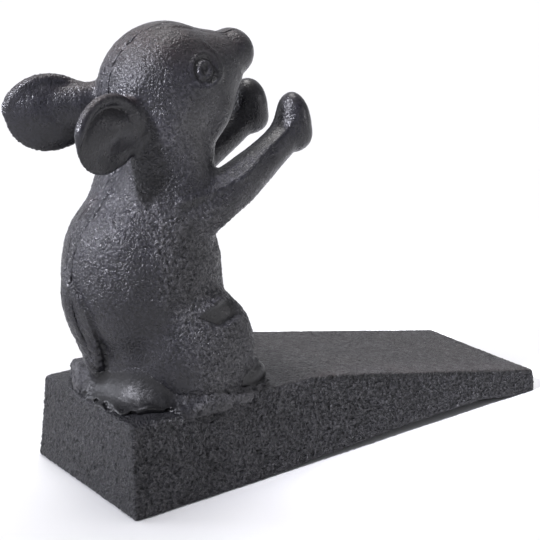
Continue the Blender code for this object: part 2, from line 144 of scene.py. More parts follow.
def mirrored(shape):
    """The left side's copy of a shape modelled on the right, -Y, side."""
    distance, low, high = shape
    return (lambda x, y, z: distance(x, -y, z)), (low[0], -high[1], low[2]), (high[0], -low[1], high[2])


def both_sides(shape):
    """A shape modelled on the right side, together with its mirror image."""
    distance, low, high = shape
    outer = max(abs(low[1]), abs(high[1]))
    return (lambda x, y, z: distance(x, -np.abs(y), z)), (low[0], -outer, low[2]), (high[0], outer, high[2])


def smooth_route(points, steps):
    """Points along a smooth curve through rows of numbers."""
    rows = np.array(points, float)
    padded = np.vstack([2 * rows[0] - rows[1], rows, 2 * rows[-1] - rows[-2]])
    found = []
    for i in range(1, len(padded) - 2):
        p0, p1, p2, p3 = padded[i - 1:i + 3]
        for step in range(steps):
            t = step / steps
            bend = 2 * p0 - 5 * p1 + 4 * p2 - p3
            found.append(p1 + 0.5 * t * (p2 - p0 + t * (bend + t * (3 * (p1 - p2) + p3 - p0))))
    found.append(rows[-1])
    return np.array(found)


def fade(values, start, end):
    """0 where values are at start, 1 where they are at end, smooth between."""
    t = np.clip((values - start) / (end - start), 0, 1)
    return t * t * (3 - 2 * t)


def peak(values, place, spread):
    """1 where values are at place, and close to 0 from two spreads away."""
    return np.exp(-(((values - place) / spread) ** 2))


# The torso

WEDGE_TOP = 21.6
TORSO_HEIGHT = 58.4
TORSO_DEPTH = 37.0
TORSO_WIDTH = 32.0
TORSO_STEPS = 12
TORSO_TOP_EDGE = 3.0
TORSO_PROFILE = (
    # share of the height, forward lean, depth and width, as shares of the torso's own sizes
    (-0.20, 0.060, 0.810, 0.960),
    (0.00, 0.060, 0.810, 0.960),
    (0.14, 0.065, 0.815, 0.950),
    (0.22, 0.055, 0.850, 0.950),
    (0.31, 0.032, 0.980, 0.985),
    (0.40, -0.004, 1.030, 1.000),
    (0.48, -0.020, 1.045, 1.000),
    (0.56, -0.024, 1.025, 0.995),
    (0.64, -0.028, 0.965, 0.950),
    (0.71, -0.012, 0.885, 0.900),
    (0.78, 0.037, 0.780, 0.860),
    (0.85, 0.081, 0.665, 0.860),
    (0.92, 0.155, 0.560, 0.800),
    (1.00, 0.190, 0.520, 0.740),
)


def torso_distance(x, y, z):
    """Distance to an upright body whose sections follow the profile."""
    rows = smooth_route(TORSO_PROFILE, TORSO_STEPS)
    share = (z - WEDGE_TOP) / TORSO_HEIGHT
    lean = np.interp(share, rows[:, 0], rows[:, 1]) * TORSO_DEPTH
    deep = np.interp(share, rows[:, 0], rows[:, 2]) * TORSO_DEPTH / 2
    wide = np.interp(share, rows[:, 0], rows[:, 3]) * TORSO_WIDTH / 2
    across = (x - lean) / deep
    aside = y / wide
    near = np.sqrt(across**2 + aside**2)
    steep = np.sqrt((across / deep) ** 2 + (aside / wide) ** 2)
    side = near * (near - 1) / np.maximum(steep, TINY)
    return smooth_max(side, z - WEDGE_TOP - TORSO_HEIGHT, TORSO_TOP_EDGE)


# The head

HEAD_TILT = math.radians(22)
HEAD_TURN = Matrix.Rotation(-HEAD_TILT, 3, "Y")
HEAD_PLACE = (6.1, 92.0)  # x and z
SKULL = (31.2, 26.2, 30.4)
SNOUT = (
    # forward and up from the middle of the skull, and the radius
    (3.8, -2.3, 11.3),
    (12.2, -0.9, 8.7),
    (19.6, -0.6, 5.2),
)
NOSE = (10.8, 11.4, 10.8)
JAW_PLACE = (5.2, 0, -6.4)
JAW = (16.8, 19.8, 17.0)


def head_place(forward, side, up):
    """A point given along the tilted head, from the middle of the skull."""
    x = HEAD_PLACE[0] + forward * math.cos(HEAD_TILT) - up * math.sin(HEAD_TILT)
    z = HEAD_PLACE[1] + forward * math.sin(HEAD_TILT) + up * math.cos(HEAD_TILT)
    return (x, side, z)


def head(form):
    snout = [(*head_place(forward, 0, up), radius) for forward, up, radius in SNOUT]
    form.add(ball(head_place(0, 0, 0), SKULL, HEAD_TURN), blend=5.0)
    form.add(limb(snout, blend=1.0), blend=3.0)
    form.add(ball(snout[-1][:3], NOSE), blend=1.5)
    form.add(ball(head_place(*JAW_PLACE), JAW), blend=4.0)


# The ears: a plate with a domed back, a padded face and a rolled lip that runs out at the cheek

EAR_BACK = (-0.939, -0.342, -0.040)  # the way that the right ear stands off the head
EAR_ROOT = (-0.38, -0.25, 0.03)  # from the middle of the skull, in shares of its sizes
EAR_AWAY = 12.5  # from the root to the middle of the plate
EAR_LONG = 10.3
EAR_TALL = 8.9
EAR_REACH = 13.0  # half of the box that holds the plate
EAR_STEM = (
    # back, up and out from the root, and three full widths
    (1.7, 0.9, -0.8, (17.3, 7.0, 10.4)),
    (3.5, 2.6, -1.6, (17.0, 5.0, 7.6)),
)
EAR_FACE = -0.35  # how far out of the plate's middle the face lies
EAR_PAD = 2.4  # the swelling in the bowl, how far along and up it lies, and how far it spreads
EAR_PAD_PLACE = (-2.0, 1.4)
EAR_PAD_SPREAD = (6.5, 4.4)
EAR_GROOVE = 0.5  # the groove inside the lip, at a share of the way to the edge
EAR_GROOVE_PLACE = 0.74
EAR_GROOVE_SPREAD = 0.12
EAR_CHEEK = 1.2  # how far the face rises to the cheek
EAR_DOME = (-3.2, 2.6)  # how far out the back lies at its middle, and its rise to the edge
EAR_EDGE = 1.6
EAR_LIP = 1.21
EAR_LIP_PLACE = 0.90
EAR_LIP_END = 1.5  # how far the lip sinks into the plate at its lower end
EAR_BLEND = 1.8
RIGHT_EAR_SHIFT = (2.1, 0, -2.7)
LEFT_EAR_SHIFT = (-0.4, -0.4, -0.8)


def ear(shift):
    """The shapes of an ear, drawn on the right side and moved by shift."""
    back = np.array(EAR_BACK) / np.linalg.norm(EAR_BACK)
    out = np.cross(back, (0, 0, 1))
    out *= -np.sign(out[1]) / np.linalg.norm(out)
    up = np.cross(out, back)
    up *= np.sign(up[2])
    root = np.array(head_place(*(share * size for share, size in zip(EAR_ROOT, SKULL)))) + shift
    centre = root + EAR_AWAY * back

    def distance(x, y, z):
        p = [x - centre[0], y - centre[1], z - centre[2]]
        u, v, w = (sum(float(axis[i]) * p[i] for i in range(3)) for axis in (back, up, out))
        along, rise = u / EAR_LONG, v / EAR_TALL
        r = np.sqrt(along**2 + rise**2)
        high = fade(rise, -0.6, 0.4)
        at_cheek = fade(along, -0.2, -0.9)
        beside = ((u - EAR_PAD_PLACE[0]) / EAR_PAD_SPREAD[0]) ** 2
        above = ((v - EAR_PAD_PLACE[1]) / EAR_PAD_SPREAD[1]) ** 2
        pad = EAR_PAD * np.exp(-beside - above)
        groove = EAR_GROOVE * high * peak(r, EAR_GROOVE_PLACE, EAR_GROOVE_SPREAD)
        face = EAR_FACE + pad - groove + EAR_CHEEK * at_cheek * (1 - high)
        dome = EAR_DOME[0] + EAR_DOME[1] * r**2
        body = smooth_max(np.maximum(w - face, dome - w), (r - 1) * EAR_TALL, EAR_EDGE)
        lip_away = (r - EAR_LIP_PLACE) * EAR_TALL
        lip_out = w - EAR_FACE + EAR_FACE * high
        ring = np.sqrt(lip_away**2 + lip_out**2) - EAR_LIP * high + EAR_LIP_END * (1 - high)
        return smooth_min(body, ring, blend=1.0)

    turn = np.array([back, out, up]).T
    shapes = []
    for behind, above, outward, sizes in EAR_STEM:
        shapes.append(ball(root + behind * back + above * up + outward * out, sizes, turn))
    shapes.append((distance, centre - EAR_REACH, centre + EAR_REACH))
    return shapes


def ears(form):
    for shape in ear(RIGHT_EAR_SHIFT):
        form.add(shape, EAR_BLEND)
    for shape in ear(LEFT_EAR_SHIFT):
        form.add(mirrored(shape), EAR_BLEND)


# The legs, drawn on the right side

SHOULDER = np.array((8.0, -11.2, WEDGE_TOP + 44.6))
FORELEG_REACH = 29.8
FORELEG_RISE = 14.5
FORELEG_CLOSE = 3.4  # how far the paw comes in towards the middle
FORELEG_ROWS = (
    # shares of the reach, the rise and the way in, and the radius
    (-0.16, -0.05, 1.40, 5.4),
    (0.06, 0.05, 0.10, 5.5),
    (0.30, 0.24, 0.00, 5.2),
    (0.52, 0.45, 0.35, 4.6),
    (0.76, 0.71, 0.75, 4.0),
    (0.96, 0.99, 1.00, 4.0),
)
RIGHT_FORELEG = {
    "shift": (0.0, 0.0, 0.0),  # of the wrist
    "thickness": (1.0, 1.0),  # shares at the shoulder and the wrist
    "paw_place": (0.8, 0, 1.8),  # from the wrist
    "paw": (8.0, 8.8, 14.0),
}
LEFT_FORELEG = {
    "shift": (-1.2, 0.0, 2.0),
    "thickness": (1.38, 0.96),
    "paw_place": (0.2, 0, 1.9),
    "paw": (9.2, 8.8, 12.8),
}
PAW_TURN = Matrix.Rotation(math.radians(-7), 3, "Y")
PAW_HEEL_PLACE = (1.0, 0, -1.6)
PAW_HEEL = (8.2, 8.4, 7.4)
SHOULDER_PLACE = (-2.2, 1.3, 0)  # from the foreleg's root
SHOULDER_SIZE = (20.5, 10.8, 16.2)
NECK_PLACE = (1.9, -6.2, WEDGE_TOP + 54.3)
NECK_SIZE = (18.2, 12.8, 26.0)
HAUNCH_PLACE = (7.4, -12.0, 31.8)
HAUNCH_SIZE = (27.5, 17.0, 30.0)
FOOT_PLACE = (16.5, -13.6, 23.9)
FOOT_SIZE = (16.6, 8.8, 10.6)


def forelegs(form):
    rows = []
    for forward, up, close, radius in FORELEG_ROWS:
        place = SHOULDER + (forward * FORELEG_REACH, close * FORELEG_CLOSE, up * FORELEG_RISE)
        rows.append((*place, radius))
    route = smooth_route(rows, ROUTE_STEPS)
    for leg, side in ((RIGHT_FORELEG, lambda shape: shape), (LEFT_FORELEG, mirrored)):
        moved = []
        for row, done in zip(route, np.linspace(0, 1, len(route))):
            place = row[:3] + np.array(leg["shift"]) * done
            moved.append((*place, row[3] * np.interp(done, (0, 1), leg["thickness"])))
        wrist = np.array(moved[-1][:3])
        form.add(side(limb(moved)), blend=2.0)
        form.add(side(ball(wrist + leg["paw_place"], leg["paw"], PAW_TURN)), blend=2.0)
        form.add(side(ball(wrist + PAW_HEEL_PLACE, PAW_HEEL)), blend=1.2)
    form.add(both_sides(ball(SHOULDER + SHOULDER_PLACE, SHOULDER_SIZE)), blend=3.0)
    form.add(both_sides(ball(NECK_PLACE, NECK_SIZE)), blend=5.5)


def hindlegs(form):
    form.add(both_sides(ball(HAUNCH_PLACE, HAUNCH_SIZE)), blend=3.2)
    form.add(both_sides(ball(FOOT_PLACE, FOOT_SIZE)), blend=1.2)


# The tail and the ridge of the spine, as x, y, z and radius

TAIL_ROUTE = (
    (-18.4, 1.9, 54.6, 0.5),
    (-18.7, 1.4, 51.5, 1.8),
    (-18.3, 0.8, 47.5, 3.0),
    (-16.9, 0.6, 43.5, 3.7),
    (-15.1, 0.6, 39.0, 3.8),
    (-13.4, 0.7, 34.5, 3.6),
    (-12.8, 0.7, 31.0, 3.3),
    (-12.0, 0.7, 28.5, 2.4),
)
SPINE_ROUTE = (
    (-12.0, 2.8, 67.6, 0.6),
    (-13.8, 2.2, 64.0, 1.4),
    (-15.8, 1.6, 60.9, 1.6),
    (-17.2, 1.9, 57.0, 1.1),
)


FIGURE_BOX = ((-30, -24, 20.2), (45, 24, 109.5))


def figure_form():
    form = sampled(*FIGURE_BOX, torso_distance)
    head(form)
    forelegs(form)
    hindlegs(form)
    ears(form)
    for rows in (TAIL_ROUTE, SPINE_ROUTE):
        form.add(limb(smooth_route(rows, ROUTE_STEPS)), blend=1.6)
    return form


# The wedge

WEDGE_BACK = -18.0
WEDGE_TIP = 112.9
WEDGE_HALF = 22.5
WEDGE_TAPER = 0.01108
SIDE_DRAFT = 0.101
END_DRAFT = 0.054
TIP_DRAFT = 0.05
BREAK_X = 36.7
BREAK_BEND = 1.2
TIP_HEIGHT = 5.8
RAMP = (WEDGE_TOP - TIP_HEIGHT) / (WEDGE_TIP - BREAK_X)
ARCH_START = 18.0
ARCH_END = 105.0
ARCH_HEIGHT = 2.0
ARCH_CREST = 0.75  # share of the arch's length
ARCH_FADE = (105.5, 91.0)  # x where it has run out to the toe pad, and where that starts
FAR_SIDE = (0, 20)  # y over which the far side's changes come in
FAR_WIDER = 0.8  # how much further out the far side's foot stands
FAR_HIGHER = 0.25
BACK_EDGE = 0.6
TIP_EDGE = 0.9
TOP_EDGE = 0.9
UNDER_EDGE = 0.6
WEDGE_BOX = ((-19, -23.5, -1), (114, 23.5, 23))
WEDGE_SKIN = 0.02  # the wedge is drawn this much small, so that its grain stays inside the CAD's size


def wedge_underside(x):
    """Height of the underside: flat under the figure and at the tip, arched between."""
    along = np.clip((x - ARCH_START) / (ARCH_END - ARCH_START), 0, 1)
    arch = ARCH_HEIGHT * np.sin(np.minimum(along / ARCH_CREST, 1) * np.pi / 2)
    return arch * fade(x, *ARCH_FADE)


def wedge_distance(x, y, z):
    """Distance to the whole wedge: two sides, two ends, the top and the underside."""
    far = fade(y, *FAR_SIDE)
    half = WEDGE_HALF - WEDGE_TAPER * (x - WEDGE_BACK) - SIDE_DRAFT * z
    side = np.abs(y) - half - FAR_WIDER * far * (1 - z / WEDGE_TOP)
    back = WEDGE_BACK + END_DRAFT * z - x
    tip = x - WEDGE_TIP + TIP_DRAFT * z
    ramp = WEDGE_TOP - RAMP * (x - BREAK_X)
    top = z - smooth_min(WEDGE_TOP, ramp, BREAK_BEND) - FAR_HIGHER * far
    corners = smooth_max(smooth_max(side, back, BACK_EDGE), tip, TIP_EDGE)
    edges = smooth_max(corners, top, TOP_EDGE)
    return smooth_max(edges, wedge_underside(x) - z, UNDER_EDGE) + WEDGE_SKIN


# The bead between the figure and the wedge

BEAD_BOX = ((-21, -24, 16), (32, 24, 42))
BEAD_MIDDLE_X = 3.0
BEAD_ROWS = (
    # turn from the front in degrees, how far the bead runs out, its size, how steep it is and its upper lip
    (0, 1.5, 3.5, 0.8, 0.12),
    (30, 2.0, 4.0, 0.8, 0.12),
    (60, 3.5, 6.0, 0.8, 0.12),
    (95, 4.5, 7.0, 0.9, 0.10),
    (118, 6.0, 8.5, 1.1, 0.05),
    (127, 7.0, 9.5, 1.2, 0.04),
    (143, 5.2, 8.0, 1.1, 0.04),
    (159, 3.8, 7.5, 1.1, 0.04),
    (184, 3.8, 7.5, 1.1, 0.03),
    (200, 4.9, 8.0, 1.15, 0.03),
    (215, 5.5, 9.0, 1.25, 0.04),
    (224, 4.8, 9.0, 1.25, 0.04),
    (232, 3.6, 8.5, 1.15, 0.05),
    (242, 2.6, 7.5, 1.0, 0.05),
    (250, 3.8, 7.0, 0.7, 0.06),
    (258, 5.0, 8.0, 0.5, 0.06),
    (278, 5.2, 8.0, 0.45, 0.06),
    (296, 5.0, 7.5, 0.45, 0.06),
    (310, 2.4, 3.0, 0.5, 0.08),
    (337, 1.2, 2.0, 0.5, 0.10),
    (360, 1.5, 3.5, 0.8, 0.12),
)
BEAD_LUMPS = (
    # place, three full widths and the fillet: the heap at the far corner and the drop at the lip's near end
    ((-13.0, 9.6, 22.8), (8.4, 12.6, 9.4), 4.5),
    ((-9.6, -15.6, 22.0), (3.6, 2.8, 2.0), 1.5),
)
RIM_UNEVEN = 0.16  # share of the bead's reach
RIM_LUMPS = 2.4
RIM_EDGE = 0.7
LIP_STEEP = 1.5  # of the bead's upper edge, where it runs out on the figure
HOLE_SIZE = 1.5
HOLE_DEPTH = 1.3
HOLE_HEIGHT = 0.35  # the hollows' middle over the wedge, and how far they spread up and down
HOLE_SPREAD = 0.5
HOLE_RIM = (-2.0, -0.6)  # how far from the bead's rim they start, and where they are deepest
BITE = 0.3  # how far the bead sinks into the figure and the wedge


def bead_form(figure):
    """A low fillet where the figure meets the wedge, with a lip at its edge and hollows under the lip."""
    spans, (x, y, z) = figure.block(*BEAD_BOX)
    axes = [axis[span] for axis, span in zip(figure.axes, spans)]
    body = figure.values[spans]
    wedge = wedge_distance(x, y, z)
    turn = np.degrees(np.arctan2(y, x - BEAD_MIDDLE_X)) % 360
    rows = np.array(BEAD_ROWS)
    reach, size, steep, top_lip = (np.interp(turn, rows[:, 0], rows[:, i]) for i in range(1, 5))
    here = np.stack(np.broadcast_arrays(x, y, WEDGE_TOP), axis=-1).reshape(-1, 3)
    uneven = noise(here, size=RIM_LUMPS, seed=31).reshape(reach.shape)
    fillet = smooth_min(body, wedge / steep, size)
    for centre, sizes, blend in BEAD_LUMPS:
        fillet = smooth_min(fillet, ball(centre, sizes)[0](x, y, z), blend)
    thick = np.minimum(body, wedge / steep) - fillet
    values = np.maximum(fillet, LIP_STEEP * (top_lip - thick))
    rim = body - reach * (1 + RIM_UNEVEN * uneven)
    values = smooth_max(values, rim, RIM_EDGE)
    near = (np.abs(wedge - 0.5) < 1.2) & (rim > -2.2) & (rim < 1)  # where a hollow can reach
    places = np.stack([axis[index] for axis, index in zip(axes, np.nonzero(near))], axis=1)
    holes = fade(noise(places, size=HOLE_SIZE, seed=33), 0.0, 0.45)
    holes = holes * peak(wedge[near], HOLE_HEIGHT, HOLE_SPREAD)
    values[near] += HOLE_DEPTH * holes * fade(rim[near], *HOLE_RIM)
    values = np.maximum(values, np.maximum(-body - BITE, -wedge - BITE))
    return Form(axes, values)


# Relief: fine shape that is pushed out of, or into, the skin

NOISE_CELLS = 64
NOISE_SHIFT = 1000  # in cells, so that none is negative
GRAIN_SIZE = 0.42
LINE_SPREAD = 0.42  # a raised line's spread, as a share of its full width


def noise(points, size, seed):
    """Smooth noise from -1 to 1 at each point, in lumps of about size."""
    random = np.random.default_rng(SEED + seed)
    table = random.uniform(-1, 1, (NOISE_CELLS,) * 3)
    turn = np.linalg.qr(random.normal(size=(3, 3)))[0]
    cells = points @ turn / size + NOISE_SHIFT
    base = np.floor(cells).astype(int)
    part = cells - base
    part = part * part * (3 - 2 * part)
    total = np.zeros(len(points))
    for corner in np.ndindex(2, 2, 2):
        weight = np.prod(np.where(corner, part, 1 - part), axis=1)
        i, j, k = ((base + corner) % NOISE_CELLS).T
        total += weight * table[i, j, k]
    return total


def grain(points, seed):
    """Sand cast grain: a net of worm-like ridges with pits between."""
    worms = 1 - 2.4 * np.abs(noise(points, size=GRAIN_SIZE * 1.25, seed=seed))
    lumps = noise(points, size=GRAIN_SIZE, seed=seed + 1)
    return 0.5 * worms + 0.8 * lumps + 0.3 * noise(points, size=0.5 * GRAIN_SIZE, seed=seed + 2)


def line_gap(points, route):
    """Distance from each point to a line through the route's points."""
    best = np.full(len(points), np.inf)
    for a, b in zip(route, route[1:]):
        a, run = np.array(a, float), np.array(b, float) - a
        t = np.clip((points - a) @ run / (run @ run), 0, 1)
        best = np.minimum(best, np.linalg.norm(points - a - t[:, None] * run, axis=1))
    return best


def ridge(points, route, width, height):
    """A raised line of that full width and height, or a cut line where height is negative."""
    gap = line_gap(points, smooth_route(route, ROUTE_STEPS))
    return height * peak(gap, 0, LINE_SPREAD * width)


# The finish of a point is how brown, how glossy and how dark the paint is there, and how strong its
# own grain, each from 0 to 1. Brown is dust, and on up-facing places also painted top light. Darkness
# carries painted shade in hollows, pits and creases, and painted light on grain tops and lit places:
# paint of its plain colour has a darkness of PLAIN, and less turns towards a paler grey

PLAIN = 0.6
RAMP_EDGE = (
    # along the wedge's upper edge on the right side
    (-17, -19.9, 21.4), (0, -20.0, 21.4), (36, -19.6, 21.4), (75, -19.8, 13.4), (112, -20.3, 6.0),
)
SIDE_GRAIN = 0.29
END_GRAIN = 0.21
TOP_GRAIN = 0.12
PIT_DEPTH = 0.35


def wedge_relief(points, normals):
    """Grain and pits on every face but the underside, and an uneven upper edge on the right side."""
    x, y = points[:, 0], points[:, 1]
    side = fade(np.abs(normals[:, 1]), 0.5, 0.9)
    end = fade(-normals[:, 0], 0.5, 0.9)
    top = fade(normals[:, 2], 0.6, 0.95)
    edge_gap = line_gap(points, RAMP_EDGE)
    pebbles = grain(points, seed=1)
    height = (SIDE_GRAIN * side + END_GRAIN * end + TOP_GRAIN * top) * pebbles
    height += 0.06 * noise(points, size=5.0, seed=3) + 0.05 * noise(points, size=2.2, seed=4) * (side + end)
    end_pits = fade(noise(points, size=0.8, seed=5), 0.58, 0.78) * end
    side_pits = fade(noise(points, size=1.0, seed=6), 0.70, 0.85) * side
    pits = end_pits + side_pits
    height -= PIT_DEPTH * pits
    near_edge = peak(edge_gap, 0, 1.3) * fade(y, -10, -18)
    height += near_edge * (0.26 * noise(points, size=1.3, seed=7) + 0.12 * noise(points, size=4.0, seed=8))
    # Brown dust on the ramp's top, which also paints top light there
    brown_and_top_light = top * (0.75 + 0.25 * noise(points, size=9, seed=9)) * fade(x, 10, 45)
    # Painted shade along the side's upper edge, past the break
    crease = side * peak(edge_gap, 0, 0.7) * fade(x, 30, 40)
    # Painted light on the side faces, strongest at the thick end
    side_light = 0.30 - 0.18 * fade(x, 0, 70)
    # How strongly the grain's painted light and shade show on each face
    grain_shade_weight = side + 0.8 * end + 0.5 * top
    # Darkness: painted light on grain tops and the sides, painted shade in grain gaps, pits and along the
    # edge
    dark = PLAIN - side_light * side - 0.5 * pebbles * grain_shade_weight + 0.6 * pits + 0.8 * crease
    gloss = np.full(len(x), 0.1)
    return height, (brown_and_top_light, gloss, dark, side + 0.9 * end + 0.8 * top)


SCREEN_RIGHT = np.array((0.80, -0.60, 0.0))
EYE = (9.9, -11.7, 97.5)
EYE_FORWARD = (0.80, -0.60, 0.0)
EYE_UP = (0.17, 0.23, 0.96)
EYE_WIDTH = 2.4
EYE_HEIGHT = 3.6
EYE_RINGS = (
    # share of the eye's size, spread and height: the pupil, the iris, the groove and the outer ring
    (0.0, 0.20, -0.45),
    (0.48, 0.17, 0.38),
    (0.78, 0.15, -0.42),
    (1.10, 0.18, 0.28),
)
LID = (
    (12.4, -7.8, 102.7), (14.9, -8.8, 100.2), (15.1, -10.5, 96.6), (13.5, -11.6, 94.8), (9.3, -12.9, 93.4),
    (5.6, -13.0, 94.2),
)
CROWN_LINE = (
    (-5.4, -1.2, 101.9), (-4.4, -1.4, 102.9), (0.9, -3.3, 105.8), (6.9, -4.5, 106.3), (11.5, -4.0, 105.6),
)
SNOUT_LINE = (
    (9.0, -2.6, 106.6), (14.0, -3.0, 105.0), (18.0, -2.9, 103.8), (22.7, -2.8, 103.4), (26.0, -2.6, 102.6),
)
CHIP_LINE = ((-8.6, 2.8, 96.2), (-7.7, 1.0, 98.7), (-7.6, -0.8, 98.9), (-8.3, -2.4, 97.2), (-9.2, -3.6, 95.0))
EAR_CREASE = ((-4.6, -10.3, 85.0), (-7.2, -10.1, 82.2), (-9.8, -10.4, 79.3), (-11.8, -11.3, 77.5))
ARM_RIDGE = (
    (34.0, -11.8, 82.7), (30.8, -12, 80.2), (25.5, -13.1, 77.8), (19, -15.3, 73.8), (11.3, -16.1, 71.5),
    (0.4, -15, 69.3),
)
PAW_CREASE = ((35.6, -12.6, 82.6), (34.4, -12.9, 80.2), (32.6, -13.2, 77.6))
RIDGES = (
    # line, full width, height and whether the left side has it too
    (LID, 1.2, 0.30, True),
    (CROWN_LINE, 1.1, -0.30, False),
    (SNOUT_LINE, 0.7, -0.16, True),
    (CHIP_LINE, 1.0, 0.4, False),
    (EAR_CREASE, 1.0, 0.25, True),
    (ARM_RIDGE, 2.4, 0.55, True),
    (PAW_CREASE, 1.0, -0.3, True),
)
TAIL_EDGE = (
    # from the lower end up
    (-14.0, -3.4, 30), (-14.5, -3.8, 34), (-15.9, -3.9, 39.7), (-17.4, -3.8, 45.1), (-18.8, -1.9, 49.4),
    (-19.2, 0.9, 53.0),
)
TAIL_STEP = 0.75
STEP_END = (2.6, -17.9, 42.8)  # the belly stands over the thigh along a step that starts here
STEP_ALONG = (0.747, -0.351, 0.562)
STEP_DOWN = (0.330, -0.537, -0.778)
STEP_LENGTH = 7.4
STEP_WIDE = 4.6  # how far down the facet runs
STEP_CUT = 1.5
STEP_RIM = 0.5
SOLE_TOP = (19.4, -18.2, 26.6)
SOLE_CUT = 0.4
TEMPLE = (1.2, 102.2)  # x and z
TEMPLE_AHEAD = (0.73, -0.69)
TEMPLE_CUT = 0.5
# Middle of the painted light on the cheek, and how far it spreads
CHEEK = (6.0, -11.5, 84.0)
CHEEK_SPREAD = 8.5
OUTWARD = (0.34, 0.94)  # x and the way from the middle, for a surface that faces out and ahead


def thigh_step(points):
    """A facet under the step, painted dark as shade: deepest at the step, run out to nothing at its lower
    edge.
    """
    away = points - np.array(STEP_END)
    along, down = away @ np.array(STEP_ALONG), away @ np.array(STEP_DOWN)
    window = fade(along, -0.8, 0.6) * fade(along, STEP_LENGTH + 1.2, STEP_LENGTH - 0.6) * (points[:, 1] < -6)
    run = STEP_WIDE * np.clip(along / 3.5, 0, 1)
    under = np.clip(down, 0, run) / STEP_WIDE * fade(down, run + 1.2, run)
    rim = peak(down, -0.5, 0.7) * fade(along, 0.0, 2.0)
    facet = window * fade(down, -0.1, 0.4) * fade(down, run + 0.6, run - 0.6)
    return window * (STEP_RIM * rim - STEP_CUT * under), facet


def sole_facet(points):
    """A flat place on the side of the foot, painted dark as shade."""
    away = points - np.array(SOLE_TOP)
    along, rise = away @ SCREEN_RIGHT, away[:, 2]
    edge = 0.9 - 0.10 * along**2 + 0.2 * along
    inside = fade(rise - edge, 0.2, -0.2) * fade(rise, -4.6, -3.8)
    inside = inside * fade(np.abs(along), 4.4, 3.4) * (points[:, 1] < -10)
    return -SOLE_CUT * inside, inside


def tail_step(points):
    """The leaf's crisp edge on the right side of the back."""
    line = np.array(TAIL_EDGE)
    beside = points @ SCREEN_RIGHT - np.interp(points[:, 2], line[:, 2], line @ SCREEN_RIGHT)
    window = fade(points[:, 2], 29, 31) * fade(points[:, 2], 55, 50) * (points[:, 0] < -10)
    step = TAIL_STEP * fade(beside, 0.25, -0.25) * fade(beside, -3.4, -1.2)
    return window * (step - 0.1 * peak(beside, 0.6, 0.5))


def eye_relief(points):
    """Rings round a dot: iris, groove and the soft outer ring."""
    away = points - np.array(EYE)
    along = away @ np.array(EYE_FORWARD) / EYE_WIDTH
    rise = away @ np.array(EYE_UP) / EYE_HEIGHT
    r = np.sqrt(along**2 + rise**2)
    near = (np.linalg.norm(away, axis=1) < 8) & (points[:, 1] < -5)
    rings = sum(height * peak(r, place, spread) for place, spread, height in EYE_RINGS)
    return np.where(near, rings, 0)


def temple_cut(x, y, z):
    """How deep the side of the face lies behind the brow."""
    ahead = (x - TEMPLE[0]) * TEMPLE_AHEAD[0] + (z - TEMPLE[1]) * TEMPLE_AHEAD[1]
    face = fade(z, 84, 90) * fade(z, 105, 100) * fade(np.abs(y), 5.5, 9.0) * fade(x, -7, -4)
    return TEMPLE_CUT * face * fade(ahead, -2.0, 3.0) * fade(ahead, 14, 6)


def figure_relief(points, normals):
    """Grain, the eye, the fine lines and the facets, on the outer skin alone."""
    x, y, z = points.T
    right = np.stack([x, -np.abs(y), z], axis=1)
    skin = fade(figure_depth(points), 0.6, 0.25)
    haunch = fade(z, 74, 61) * fade(x + 0.25 * (z - 40), -7, 3)
    back = fade(z, 40, 52) * fade(z, 86, 78) * fade(x, 6, -3)
    head_side = fade(z, 86, 91) * fade(x, 4, -2)
    facing_out = normals @ np.array((OUTWARD[0], 0, 0)) + np.abs(normals[:, 1]) * OUTWARD[1]
    ear_bowl = fade(x, -3, -6) * fade(z, 72, 76) * fade(facing_out, 0.2, 0.6)
    palm = fade(x, 27, 31) * fade(normals[:, 0] + normals[:, 2], -0.2, 0.4)
    step, scoop = thigh_step(right)
    notch, sole = sole_facet(right)
    tail_skin = fade(line_gap(points, [row[:3] for row in TAIL_ROUTE]), 5.0, 4.0)
    smear = fade(z, 33, 26) * fade(x, 4, -3)
    smooth = np.maximum.reduce([0.8 * ear_bowl, 0.8 * palm, scoop, sole, 0.8 * smear])
    rough = (0.05 + 0.15 * haunch + 0.07 * back + 0.06 * head_side) * (1 - 0.8 * smooth)
    pebbles = grain(points, seed=11)
    height = rough * pebbles + 0.05 * noise(points, size=3.5, seed=14)
    height += 0.28 * tail_skin * fade(z, 47, 36) * noise(points, size=0.9, seed=15)
    height += eye_relief(right)
    for line, width, rise, paired in RIDGES:
        height += ridge(right if paired else points, line, width, rise)
    height += tail_step(points) + step + notch
    height -= temple_cut(x, y, z)
    up = fade(normals[:, 2], 0.2, 0.9)
    # Brown dust on the spine's ridge and on the head's up-facing places, where it also paints top light
    brown_and_top_light = 0.9 * up * fade(z, 80, 100) + 0.5 * ridge(points, [row[:3] for row in SPINE_ROUTE], 5.0, 1.0)
    cheek = peak(np.linalg.norm(right - np.array(CHEEK), axis=1), 0, CHEEK_SPREAD)
    # Darkness: painted light on grain tops, painted shade in grain hollows, and the thigh's scoop and the
    # foot's sole painted dark as shade
    dark = PLAIN - 0.6 * pebbles * (0.45 + 0.35 * haunch) * (1 - 0.7 * smooth) + np.maximum(scoop, sole)
    # Painted light on the haunch and the cheek
    dark -= 0.30 * haunch + 0.45 * cheek
    bumps = (0.45 + 0.5 * haunch + 0.35 * back + 0.35 * head_side) * (1 - 0.75 * smooth)
    return height * skin, (brown_and_top_light, 0.03 + 0.20 * back, dark, bumps)


